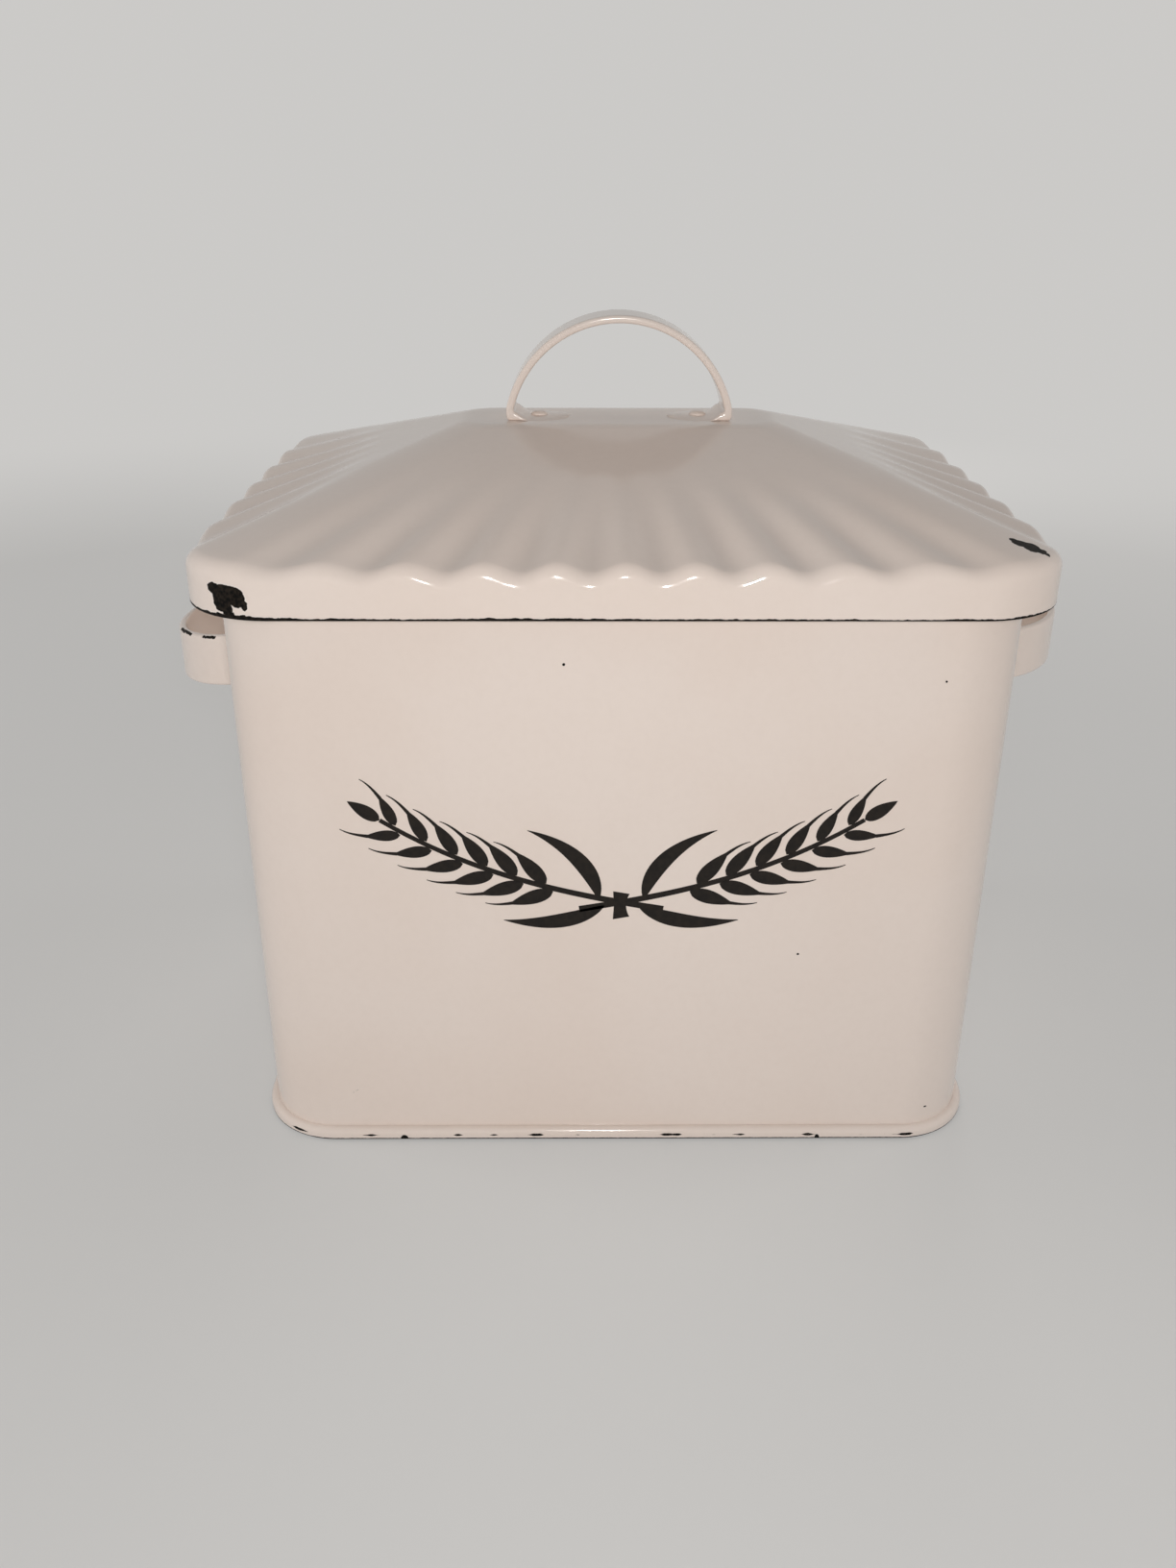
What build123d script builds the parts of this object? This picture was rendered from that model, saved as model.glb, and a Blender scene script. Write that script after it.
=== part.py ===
from build123d import *
import math
import os

# Enamelled steel bread bin: a straight-sided tub that stands on a beaded base, two strap handles
# on its ends, and a lift-off lid whose hipped top is pressed into flutes.
# Millimetres. X runs along the front, Y to the back and Z up. The origin is the middle of the
# underside, on the surface that the bin stands on. Everything is symmetric about X = 0 and Y = 0.

# ---------------------------------------------------------------- driving dimensions

# Tub: a wall bent from one sheet, with a rolled rim, seamed into a pressed base pan
TUB_WIDTH = 272.5
TUB_DEPTH = 214.5
TUB_CORNER = 27.0
TUB_SHEET = 1.2
RIM_HEIGHT = 226.0
RIM_ROLL_RADIUS = 2.6
RIM_ROLL_DEPTH = 4.6
RIM_CROWN_FLAT = 0.4

# Base pan: its rolled edge stands out past the wall as a bead, and its floor is raised
BASE_SHEET = 1.4
BASE_BEAD_OUT = 3.0
BASE_BEAD_HEIGHT = 5.0
BASE_BEAD_ROUND = 2.4
BASE_TOE_CHAMFER = 0.8
FLOOR_RISE = 3.6

# Lid pressing
LID_OVERHANG = 8.75
LID_CORNER = 31.0
LID_SHEET = 1.2
LID_REST_GAP = 0.3
SKIRT_DROP = 14.5
SHOULDER_RADIUS = 6.0
TOP_RISE = 27.0
PLATEAU_WIDTH = 116.0
PLATEAU_DEPTH = 39.0
PLATEAU_CORNER = 11.0
PLATEAU_ROUND = 22.0

# Flutes: they fan out from the plateau to the shoulder, where they are deepest, and fade out part
# of the way up. The counts are for half an edge, from its middle to the last ridge. The spread
# widens the flutes nearer the hips, and the taper makes them shallower there.
FLUTE_DEPTH = 3.2
FRONT_FLUTE_COUNT = 5
END_FLUTE_COUNT = 3
FRONT_SPREAD_SHARE = 0.125
END_SPREAD_SHARE = 0.08
FLUTE_FADE_SHARE = 0.66
FLUTE_TAPER_SHARE = 0.6
HIP_SHARE = 0.90

# Strap handles: one on the lid, one on each end of the tub
STRAP_THICKNESS = 2.8
STRAP_BEND_RADIUS = 2.6
ARCH_HALF_WIDTH = 43.0
LID_STRAP_WIDTH = 23.0
LID_ARCH_RISE = 37.4
LID_RIVET_OFFSET = 30.0
SIDE_STRAP_WIDTH = 20.0
SIDE_ARCH_RISE = 39.5
SIDE_RIVET_OFFSET = 30.0
SIDE_HANDLE_HEIGHT = 173.5

# Rivets
RIVET_HEAD_RADIUS = 3.2
RIVET_CROWN_RADIUS = 1.9
RIVET_HEAD_HEIGHT = 1.3
RIVET_SHANK_RADIUS = 1.6
RIVET_TAIL_RADIUS = 2.6
RIVET_TAIL_HEIGHT = 1.0
RIVET_HOLE_CLEARANCE = 0.05

# How finely the pressing is drawn: points for each flute and for each hip beyond the last one,
# steps round the shoulder, and steps in which the flutes fade
POINTS_PER_FLUTE = 4
POINTS_PER_HIP = 3
SHOULDER_STEPS = 2
FADE_STEPS = 10

# ---------------------------------------------------------------- sizes worked out from them

tub_half_x = TUB_WIDTH / 2
tub_half_y = TUB_DEPTH / 2
lid_half_x = tub_half_x + LID_OVERHANG
lid_half_y = tub_half_y + LID_OVERHANG
plateau_half_x = PLATEAU_WIDTH / 2
plateau_half_y = PLATEAU_DEPTH / 2
run_x = lid_half_x - plateau_half_x
run_y = lid_half_y - plateau_half_y
slope_angle = math.atan2(TOP_RISE, (run_x + run_y) / 2)

# The lid hangs on the valleys of its flutes: their undersides clear the round of the rolled rim
# by the rest gap, measured square to the slope.
rim_centre_inset = LID_OVERHANG + TUB_SHEET - RIM_ROLL_RADIUS
rim_centre_height = RIM_HEIGHT - RIM_ROLL_RADIUS
lid_shoulder = (
    rim_centre_height
    + (RIM_ROLL_RADIUS + LID_REST_GAP + LID_SHEET) / math.cos(slope_angle)
    + FLUTE_DEPTH
    - rim_centre_inset * math.tan(slope_angle)
)
plateau_height = lid_shoulder + TOP_RISE
skirt_bottom = RIM_HEIGHT - SKIRT_DROP


def rounded_prism(half_x, half_y, corner, low, high):
    """An upright block with rounded corners between two heights."""
    outline = RectangleRounded(2 * half_x, 2 * half_y, corner)
    return extrude(Pos(0, 0, low) * outline, high - low)


# ---------------------------------------------------------------- tub

def ring(outset, thickness, low, high):
    """An upright ring of sheet round the tub; its outside stands out from the wall by the outset."""
    inner = outset - thickness
    outside = rounded_prism(tub_half_x + outset, tub_half_y + outset, TUB_CORNER + outset, low, high)
    return outside - rounded_prism(tub_half_x + inner, tub_half_y + inner, TUB_CORNER + inner, low, high)


def tub_wall():
    """The wall sheet, whose upper edge is rolled outwards into a half-round rim."""
    rim_width = 2 * RIM_ROLL_RADIUS
    rim_bottom = RIM_HEIGHT - RIM_ROLL_DEPTH
    rim = ring(rim_width - TUB_SHEET, rim_width, rim_bottom, RIM_HEIGHT)
    crown_edges = rim.edges().group_by(Axis.Z)[-1]
    rim = fillet(crown_edges, RIM_ROLL_RADIUS - RIM_CROWN_FLAT / 2)
    return ring(0, TUB_SHEET, BASE_SHEET, rim_bottom) + rim


def tub_base():
    """The base pan: a rolled bead with a slot for the wall's lower edge, and a raised floor."""
    bead = rounded_prism(
        tub_half_x + BASE_BEAD_OUT,
        tub_half_y + BASE_BEAD_OUT,
        TUB_CORNER + BASE_BEAD_OUT,
        0,
        BASE_BEAD_HEIGHT,
    )
    levels = bead.edges().group_by(Axis.Z)
    bead = fillet(levels[-1], BASE_BEAD_ROUND)
    bead = chamfer(bead.edges().group_by(Axis.Z)[0], BASE_TOE_CHAMFER)
    slot = ring(0, TUB_SHEET, BASE_SHEET, BASE_BEAD_HEIGHT)
    leg = TUB_SHEET + BASE_SHEET
    recess = rounded_prism(tub_half_x - leg, tub_half_y - leg, TUB_CORNER - leg, 0, FLOOR_RISE)
    return bead - slot - recess


# ---------------------------------------------------------------- lid

def edge_share(u, spread):
    """Share of half an edge, from its middle, reached by the flute line at u, 1 at the last ridge."""
    return (HIP_SHARE - spread) * u + spread * u**3


def valley_share(u, flutes):
    """0 on a ridge and near 1 in a valley, for a half edge with this many flutes."""
    wave = (1 - math.cos(2 * math.pi * flutes * u)) / 2
    return wave * (1 - FLUTE_TAPER_SHARE * u**4)


def flute_lines():
    """Lines up the pressing over one quarter turn: shares of its half sizes, and of a valley."""
    lines = []
    steps = END_FLUTE_COUNT * POINTS_PER_FLUTE
    for step in range(steps + 1):
        u = step / steps
        lines.append((1.0, edge_share(u, END_SPREAD_SHARE), valley_share(u, END_FLUTE_COUNT)))
    for step in range(1, POINTS_PER_HIP + 1):
        turn = step / (POINTS_PER_HIP + 1)
        lines.append((1 - (1 - HIP_SHARE) * turn, HIP_SHARE + (1 - HIP_SHARE) * turn, 0.0))
    steps = FRONT_FLUTE_COUNT * POINTS_PER_FLUTE
    for step in range(steps, -1, -1):
        u = step / steps
        lines.append((edge_share(u, FRONT_SPREAD_SHARE), 1.0, valley_share(u, FRONT_FLUTE_COUNT)))
    return lines


def outline_point(ray_x, ray_y, half_x, half_y, corner):
    """Where a ray from the centre meets a rectangle with rounded corners."""
    length = math.hypot(ray_x, ray_y)
    dx, dy = abs(ray_x) / length, abs(ray_y) / length
    reach = min(half_x / dx if dx else math.inf, half_y / dy if dy else math.inf)
    centre_x, centre_y = half_x - corner, half_y - corner
    if reach * dx > centre_x and reach * dy > centre_y:
        along = dx * centre_x + dy * centre_y
        reach = along + math.sqrt(along**2 - centre_x**2 - centre_y**2 + corner**2)
    return reach * ray_x / length, reach * ray_y / length


def lid_section(inset_x, inset_y, corner, height, drop):
    """One closed section of the pressing; its valleys lie lower than its ridges by the drop."""
    half_x = lid_half_x - inset_x
    half_y = lid_half_y - inset_y
    points = []
    for share_x, share_y, valley in flute_lines():
        x, y = outline_point(share_x * half_x, share_y * half_y, half_x, half_y, corner)
        points.append((x, y, height - drop * valley))

    # The quarter is mirrored into the other three, and each meets the next square to the mirror.
    quarters = []
    for side_x, side_y in ((1, 1), (-1, 1), (-1, -1), (1, -1)):
        quarter = [(side_x * x, side_y * y, z) for x, y, z in points]
        leaving_x_axis, meeting_y_axis = (0, side_y, 0), (-side_x, 0, 0)
        if side_x == side_y:
            quarters.append(Spline(*quarter, tangents=(leaving_x_axis, meeting_y_axis)))
        else:
            quarter.reverse()
            quarters.append(Spline(*quarter, tangents=((side_x, 0, 0), (0, -side_y, 0))))
    return Wire([edge for quarter in quarters for edge in quarter.edges()])


def lid_form(sheet):
    """The solid under the lid's skin, taken in by a sheet thickness: 0 gives the outside."""
    radius = SHOULDER_RADIUS - sheet
    tangent = SHOULDER_RADIUS * math.tan((math.pi / 2 - slope_angle) / 2)
    arc_centre = lid_shoulder - tangent
    arc_end = math.pi / 2 - slope_angle

    # Skirt: straight down from the shoulder. The flutes only shape it where the shoulder starts.
    sections = [lid_section(sheet, sheet, LID_CORNER - sheet, skirt_bottom, 0.0)]

    # Shoulder: an arc that turns into the slope, lower in the valleys than on the ridges
    for step in range(SHOULDER_STEPS + 1):
        angle = arc_end * step / SHOULDER_STEPS
        inset = SHOULDER_RADIUS - radius * math.cos(angle)
        height = arc_centre + radius * math.sin(angle)
        sections.append(lid_section(inset, inset, LID_CORNER - inset, height, FLUTE_DEPTH))

    # Slope: straight up to the plateau's eased edge, while the flutes fade out
    run = (run_x + run_y) / 2
    slope_start = inset / run
    slope_start_corner = LID_CORNER - inset
    skin = sheet / math.cos(slope_angle)
    edge_ease = PLATEAU_ROUND * math.tan(slope_angle / 2)
    levels = []
    for step in range(1, FADE_STEPS + 1):
        share = slope_start + (FLUTE_FADE_SHARE - slope_start) * step / FADE_STEPS
        depth_left = (1 + math.cos(math.pi * step / FADE_STEPS)) / 2
        levels.append((share, FLUTE_DEPTH * depth_left))
    levels.append((1 - edge_ease / run, 0.0))
    for share, drop in levels:
        corner = slope_start_corner + (PLATEAU_CORNER - slope_start_corner) * share
        height = lid_shoulder + TOP_RISE * share - skin
        sections.append(lid_section(run_x * share, run_y * share, corner, height, drop))

    # Plateau: level, inside the eased edge
    sections.append(lid_section(
        run_x + edge_ease,
        run_y + edge_ease,
        PLATEAU_CORNER - edge_ease,
        plateau_height - sheet,
        0.0,
    ))
    return Solid.make_loft(sections, ruled=True)


def lid_shell():
    """The pressed lid: the same form outside and inside, a sheet apart, open below."""
    shell = Part() + lid_form(0.0) - lid_form(LID_SHEET)
    for side in (-1, 1):
        shell -= Pos(side * LID_RIVET_OFFSET, 0, plateau_height) * rivet_hole()
    return shell


# ---------------------------------------------------------------- handles and rivets

def strap_handle(strap_width, rise, rivet_offset):
    """A strap bent to an arch over X, standing on Z = 0, with its feet turned in and riveted."""
    outer_radius = (ARCH_HALF_WIDTH**2 + rise**2) / (2 * rise)
    arch_radius = outer_radius - STRAP_THICKNESS / 2
    arch_z = rise - outer_radius
    foot_z = STRAP_THICKNESS / 2
    bend_z = foot_z + STRAP_BEND_RADIUS
    bend_x = math.sqrt((arch_radius - STRAP_BEND_RADIUS) ** 2 - (bend_z - arch_z) ** 2)
    bend_turn = math.degrees(math.atan2(bend_z - arch_z, bend_x))
    toe_x = rivet_offset - strap_width / 2

    toe_line = Line((toe_x, foot_z), (bend_x, foot_z))
    bend = CenterArc((bend_x, bend_z), STRAP_BEND_RADIUS, -90, 90 + bend_turn)
    arch = CenterArc((0, arch_z), arch_radius, bend_turn, 180 - 2 * bend_turn)
    far_bend = CenterArc((-bend_x, bend_z), STRAP_BEND_RADIUS, 180 - bend_turn, 90 + bend_turn)
    far_toe = Line((-bend_x, foot_z), (-toe_x, foot_z))
    pieces = (toe_line, bend, arch, far_bend, far_toe)
    path = Plane.XZ * Wire([edge for piece in pieces for edge in piece.edges()])
    section_plane = Plane(origin=(toe_x, 0, foot_z), x_dir=(0, 1, 0), z_dir=(1, 0, 0))
    strap = sweep(section_plane * Rectangle(strap_width, STRAP_THICKNESS), path=path)

    # Each toe is rounded about its rivet.
    for side in (-1, 1):
        toe_block = Pos(side * (rivet_offset - strap_width / 4), 0, foot_z) * Box(
            strap_width / 2, strap_width, STRAP_THICKNESS
        )
        toe_round = Pos(side * rivet_offset, 0, foot_z) * Cylinder(strap_width / 2, STRAP_THICKNESS)
        strap -= toe_block - toe_round
        strap -= Pos(side * rivet_offset, 0, STRAP_THICKNESS) * rivet_hole()
    return strap


def rivet_hole():
    """A hole down from Z = 0, through one thickness of strap or sheet."""
    depth = max(STRAP_THICKNESS, LID_SHEET, TUB_SHEET)
    return Pos(0, 0, -depth) * Cylinder(
        RIVET_SHANK_RADIUS + RIVET_HOLE_CLEARANCE, 2 * depth, align=(Align.CENTER, Align.CENTER, Align.MIN)
    )


def rivet(sheet):
    """A rivet with a low bevelled head, through a strap that lies on Z = 0 and a sheet below it."""
    head_z = STRAP_THICKNESS
    tail_z = -sheet - RIVET_TAIL_HEIGHT
    on_base = (Align.CENTER, Align.CENTER, Align.MIN)
    head = Pos(0, 0, head_z) * Cone(
        RIVET_HEAD_RADIUS, RIVET_CROWN_RADIUS, RIVET_HEAD_HEIGHT, align=on_base
    )
    shank = Pos(0, 0, tail_z) * Cylinder(RIVET_SHANK_RADIUS, head_z - tail_z, align=on_base)
    tail = Pos(0, 0, tail_z) * Cylinder(RIVET_TAIL_RADIUS, RIVET_TAIL_HEIGHT, align=on_base)
    return head + shank + tail


# ---------------------------------------------------------------- assembly

def side_plane(side):
    """The outside of one end of the tub at handle height: its Z looks away from the tub."""
    origin = (side * tub_half_x, 0, SIDE_HANDLE_HEIGHT)
    return Plane(origin=origin, x_dir=(0, side, 0), z_dir=(side, 0, 0))


def build_nodes():
    """Every separate piece of the bin, by name."""
    wall = tub_wall()
    lid_top = Pos(0, 0, plateau_height)
    nodes = {"tub_base": tub_base(), "lid_shell": lid_shell()}
    nodes["lid_handle"] = lid_top * strap_handle(LID_STRAP_WIDTH, LID_ARCH_RISE, LID_RIVET_OFFSET)
    for side, name in ((-1, "left"), (1, "right")):
        nodes[f"lid_rivet_{name}"] = lid_top * Pos(side * LID_RIVET_OFFSET, 0, 0) * rivet(LID_SHEET)
        plane = side_plane(side)
        side_handle = strap_handle(SIDE_STRAP_WIDTH, SIDE_ARCH_RISE, SIDE_RIVET_OFFSET)
        nodes[f"side_handle_{name}"] = plane * side_handle
        for end, place in ((-1, "front"), (1, "back")):
            along = side * end * SIDE_RIVET_OFFSET
            nodes[f"side_rivet_{name}_{place}"] = plane * (Pos(along, 0, 0) * rivet(TUB_SHEET))
            wall -= plane * (Pos(along, 0, 0) * rivet_hole())
    nodes["tub_wall"] = wall
    return nodes


os.makedirs("parts", exist_ok=True)
for node_name, shape in build_nodes().items():
    export_step(shape, f"parts/{node_name}.step")
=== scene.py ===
import math

import bpy
from mathutils import Matrix, Vector


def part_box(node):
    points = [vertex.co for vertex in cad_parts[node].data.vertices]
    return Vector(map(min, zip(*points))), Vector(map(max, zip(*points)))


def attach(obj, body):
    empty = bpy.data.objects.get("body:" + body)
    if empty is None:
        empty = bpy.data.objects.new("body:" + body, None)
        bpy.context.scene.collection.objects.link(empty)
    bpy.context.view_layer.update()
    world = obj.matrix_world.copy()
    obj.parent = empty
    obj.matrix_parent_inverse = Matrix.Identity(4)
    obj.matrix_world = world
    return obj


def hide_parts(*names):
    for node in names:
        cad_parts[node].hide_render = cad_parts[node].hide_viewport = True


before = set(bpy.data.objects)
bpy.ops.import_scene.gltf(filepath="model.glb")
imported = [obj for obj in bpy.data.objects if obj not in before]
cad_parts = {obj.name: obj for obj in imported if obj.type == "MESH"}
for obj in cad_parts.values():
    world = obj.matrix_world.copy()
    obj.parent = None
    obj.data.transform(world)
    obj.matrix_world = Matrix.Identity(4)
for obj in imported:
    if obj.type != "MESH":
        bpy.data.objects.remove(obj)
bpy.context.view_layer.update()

# Enamelled steel bread bin. Pieces are drawn in millimetres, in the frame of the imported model,
# and turned into metres when their meshes are made.
MM = 0.001

# ---------------------------------------------------------------- sizes

# Sheets, rim and base pan
TUB_SHEET = 1.2
TUB_CORNER = 27.0
RIM_ROLL_RADIUS = 2.6
RIM_CURL_END = math.radians(-140)
BEAD_OUT = 3.0
BEAD_HEIGHT = 5.0
BEAD_ROUND = 2.4
BEAD_TOE = 0.8
BASE_SHEET = 1.4
BASE_LIP_CHAMFER = 0.6
BASE_FOOT_CHAMFER = 0.3
# How far a piece reaches past the face of its neighbour, so that no seam shows
SEAM_OVERLAP = 0.02
FLOOR_RISE = 3.6
FLOOR_COVE = 2.0

# Lid pressing
LID_OVERHANG = 8.75
LID_CORNER = 31.0
LID_SHEET = 1.2
SHOULDER_RADIUS = 6.0
TOP_RISE = 27.0
PLATEAU_HALF_X = 58.0
PLATEAU_HALF_Y = 19.5
PLATEAU_CORNER = 11.0
PLATEAU_ROUND = 22.0
FLUTE_DEPTH = 3.2
FLUTES_FRONT_HALF = 5
FLUTES_END_HALF = 3
SPREAD_FRONT = 0.125
SPREAD_END = 0.08
HIP_SHARE = 0.90
FLUTE_FADE_SHARE = 0.66
FLUTE_TAPER_SHARE = 0.6

# Straps and rivets
STRAP_THICKNESS = 2.8
STRAP_EDGE_ROUND = 1.1
FOOT_SWELL_POWER = 2.4
FOOT_RISE_SHARE = 0.25
FOOT_FALL_RUN = 3.6
HEEL_SQUARENESS = 6
# The left handle is bent down: how far it drops for each millimetre out from the wall
LEFT_HANDLE_DROOP = 0.19
STRAP_BEND_RADIUS = 2.6
ARCH_HALF_WIDTH = 43.0
LID_STRAP_WIDTH = 23.0
SIDE_STRAP_WIDTH = 20.0
SIDE_HANDLE_HEIGHT = 173.5
RIVET_OFFSET = 30.0
RIVET_HEAD_RADIUS = 3.2
RIVET_HEAD_HEIGHT = 1.3
RIVET_SHANK_RADIUS = 1.6
RIVET_TAIL_RADIUS = 2.6
RIVET_TAIL_HEIGHT = 1.0
RIVET_TAIL_ROUND = 0.5
RIVET_DOME_POWER = 0.8

# How finely the meshes are drawn
CORNER_STEPS = 20
SIDE_STEPS = 12
POINTS_PER_FLUTE = 16
POINTS_PER_HIP = 11
RIVET_STEPS = 40
RIVET_DOME_STEPS = 12
STRAP_EDGE_STEPS = 5
STRAP_FLAT_STEPS = 12
LEVEL_TOLERANCE = 1e-6
LEAST_HALF_WIDTH = 0.05


def box_mm(node):
    """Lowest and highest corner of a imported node, in millimetres."""
    low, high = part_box(node)
    return low / MM, high / MM


wall_top = box_mm("tub_wall")[1]
lid_low, lid_high = box_mm("lid_shell")
RIM_OUT = 2 * RIM_ROLL_RADIUS - TUB_SHEET
tub_half_x = round(wall_top.x - RIM_OUT, 2)
tub_half_y = round(wall_top.y - RIM_OUT, 2)
rim_height = wall_top.z
lid_half_x = tub_half_x + LID_OVERHANG
lid_half_y = tub_half_y + LID_OVERHANG
skirt_bottom = lid_low.z
plateau_height = lid_high.z
lid_shoulder = plateau_height - TOP_RISE
lid_arch_rise = box_mm("lid_handle")[1].z - plateau_height
side_arch_rise = box_mm("side_handle_right")[1].x - tub_half_x


# ---------------------------------------------------------------- shader graphs

class Graph:
    """Short ways to add and link the nodes of one material."""

    def __init__(self, name):
        self.material = bpy.data.materials.new(name)
        self.material.use_nodes = True
        self.tree = self.material.node_tree
        self.shader = self.tree.nodes["Principled BSDF"]
        self.output = self.tree.nodes["Material Output"]
        self.place = self.add("ShaderNodeTexCoord").outputs["Object"]

    def add(self, kind, **settings):
        node = self.tree.nodes.new(kind)
        for key, value in settings.items():
            setattr(node, key, value)
        return node

    def put(self, socket, value):
        if isinstance(value, bpy.types.NodeSocket):
            self.tree.links.new(value, socket)
        else:
            socket.default_value = value

    def math(self, operation, *values, clamp=False):
        node = self.add("ShaderNodeMath", operation=operation, use_clamp=clamp)
        for socket, value in zip(node.inputs, values):
            self.put(socket, value)
        return node.outputs[0]

    def vector(self, operation, *values):
        node = self.add("ShaderNodeVectorMath", operation=operation)
        for socket, value in zip(node.inputs, values):
            self.put(socket, value)
        return node.outputs["Value" if operation in ("LENGTH", "DISTANCE", "DOT_PRODUCT") else "Vector"]

    def noise(self, size, detail=2.0, roughness=0.5, place=None):
        """Noise whose lumps are about this many millimetres across."""
        node = self.add("ShaderNodeTexNoise")
        self.put(node.inputs["Vector"], place or self.place)
        node.inputs["Scale"].default_value = 1 / (size * MM)
        node.inputs["Detail"].default_value = detail
        node.inputs["Roughness"].default_value = roughness
        return node

    def ramp(self, value, start, end, low=0.0, high=1.0):
        """Smooth step of a value between start and end."""
        node = self.add("ShaderNodeMapRange", interpolation_type="SMOOTHSTEP")
        self.put(node.inputs["Value"], value)
        node.inputs["From Min"].default_value = start
        node.inputs["From Max"].default_value = end
        node.inputs["To Min"].default_value = low
        node.inputs["To Max"].default_value = high
        return node.outputs["Result"]

    def mix(self, share, a, b):
        node = self.add("ShaderNodeMix", data_type="RGBA")
        self.put(node.inputs["Factor"], share)
        self.put(node.inputs[6], a)
        self.put(node.inputs[7], b)
        return node.outputs[2]

    def smallest(self, values):
        least = values[0]
        for value in values[1:]:
            least = self.math("MINIMUM", least, value)
        return least

    def shift(self, size, reach, place=None):
        """The place moved about by noise lumps: their size and their reach, in millimetres."""
        lumps = self.noise(size, detail=5, roughness=0.62, place=place).outputs["Color"]
        moved = self.vector("SUBTRACT", lumps, (0.5, 0.5, 0.5))
        moved = self.vector("MULTIPLY", moved, (reach * 2 * MM,) * 3)
        return self.vector("ADD", place or self.place, moved)

    def blobs(self, place, spots):
        """Least distance from the middles of ellipsoids, in their own radii; spots in millimetres."""
        found = []
        for middle, radii in spots:
            away = self.vector("SUBTRACT", place, tuple(value * MM for value in middle))
            away = self.vector("MULTIPLY", away, tuple(1 / (value * MM) for value in radii))
            found.append(self.vector("LENGTH", away))
        return self.smallest(found)

    def strokes(self, place, lines):
        """Least distance from straight lines, in their own half widths; lines in millimetres."""
        found = []
        for start, end, half_width in lines:
            first, run = Vector(start) * MM, (Vector(end) - Vector(start)) * MM
            away = self.vector("SUBTRACT", place, tuple(first))
            along = self.vector("DOT_PRODUCT", away, tuple(run / run.length_squared))
            along = self.math("ADD", along, 0.0, clamp=True)
            reached = self.add("ShaderNodeVectorMath", operation="SCALE")
            reached.inputs[0].default_value = tuple(run)
            self.put(reached.inputs["Scale"], along)
            off = self.vector("LENGTH", self.vector("SUBTRACT", away, reached.outputs["Vector"]))
            found.append(self.math("DIVIDE", off, half_width * MM))
        return self.smallest(found)

    def profile(self, value, low, high, stops):
        """A value read off a list of (place, result) stops, between low and high, in millimetres."""
        share = self.ramp(value, low * MM, high * MM)
        share.node.interpolation_type = "LINEAR"
        node = self.add("ShaderNodeValToRGB")
        scale = node.color_ramp
        scale.interpolation = "LINEAR"
        for index, (place, result) in enumerate(stops):
            where = (place - low) / (high - low)
            stop = scale.elements[index] if index < 2 else scale.elements.new(where)
            stop.position = where
            stop.color = (result, result, result, 1)
        self.put(node.inputs["Fac"], share)
        return node.outputs["Color"]

    def axes(self, place=None):
        node = self.add("ShaderNodeSeparateXYZ")
        self.put(node.inputs[0], place or self.place)
        return node.outputs


# ---------------------------------------------------------------- meshes

def finish_piece(name, vertices, faces, body, replaced, material, crease=38):
    """A mesh object from points in millimetres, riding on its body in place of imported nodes."""
    mesh = bpy.data.meshes.new(name)
    mesh.from_pydata([(x * MM, y * MM, z * MM) for x, y, z in vertices], [], faces)
    mesh.validate()
    mesh.shade_smooth()
    mesh.set_sharp_from_angle(angle=math.radians(crease))
    mesh.materials.append(material)
    piece = bpy.data.objects.new(name, mesh)
    bpy.context.scene.collection.objects.link(piece)
    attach(piece, body)
    if replaced:
        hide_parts(*replaced)
    return piece


def lattice(rows, columns, wrap_rows=False, wrap_columns=True):
    """Quads between rows of points, each row as long as columns."""
    faces = []
    for row in range(rows if wrap_rows else rows - 1):
        below = row * columns
        above = (row + 1) % rows * columns
        for column in range(columns if wrap_columns else columns - 1):
            after = (column + 1) % columns
            faces.append((below + column, below + after, above + after, above + column))
    return faces


def arc(centre_a, centre_b, radius, start, end, steps):
    """Points (a, b) on an arc, both ends included; angles in radians."""
    points = []
    for step in range(steps + 1):
        angle = start + (end - start) * step / steps
        points.append((centre_a + radius * math.cos(angle), centre_b + radius * math.sin(angle)))
    return points


def rounded_outline(half_x, half_y, corner):
    """Points of a rectangle with rounded corners, anticlockwise from above."""
    points = []
    middle_x, middle_y = half_x - corner, half_y - corner
    corners = (
        (middle_x, middle_y),
        (-middle_x, middle_y),
        (-middle_x, -middle_y),
        (middle_x, -middle_y),
    )
    for turn, (centre_x, centre_y) in enumerate(corners):
        start = turn * math.pi / 2
        quarter = arc(centre_x, centre_y, corner, start, start + math.pi / 2, CORNER_STEPS)
        points.extend(quarter)
        next_x, next_y = corners[(turn + 1) % 4]
        step_x, step_y = next_x - centre_x, next_y - centre_y
        last_x, last_y = quarter[-1]
        for step in range(1, SIDE_STEPS):
            points.append((last_x + step_x * step / SIDE_STEPS, last_y + step_y * step / SIDE_STEPS))
    return points


def ring_round_tub(profile):
    """Points of a profile of (outset, height) carried round the tub's outline, and a row's length."""
    vertices = []
    for outset, height in profile:
        outline = rounded_outline(tub_half_x + outset, tub_half_y + outset, TUB_CORNER + outset)
        vertices.extend((x, y, height) for x, y in outline)
    return vertices, len(outline)


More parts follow.
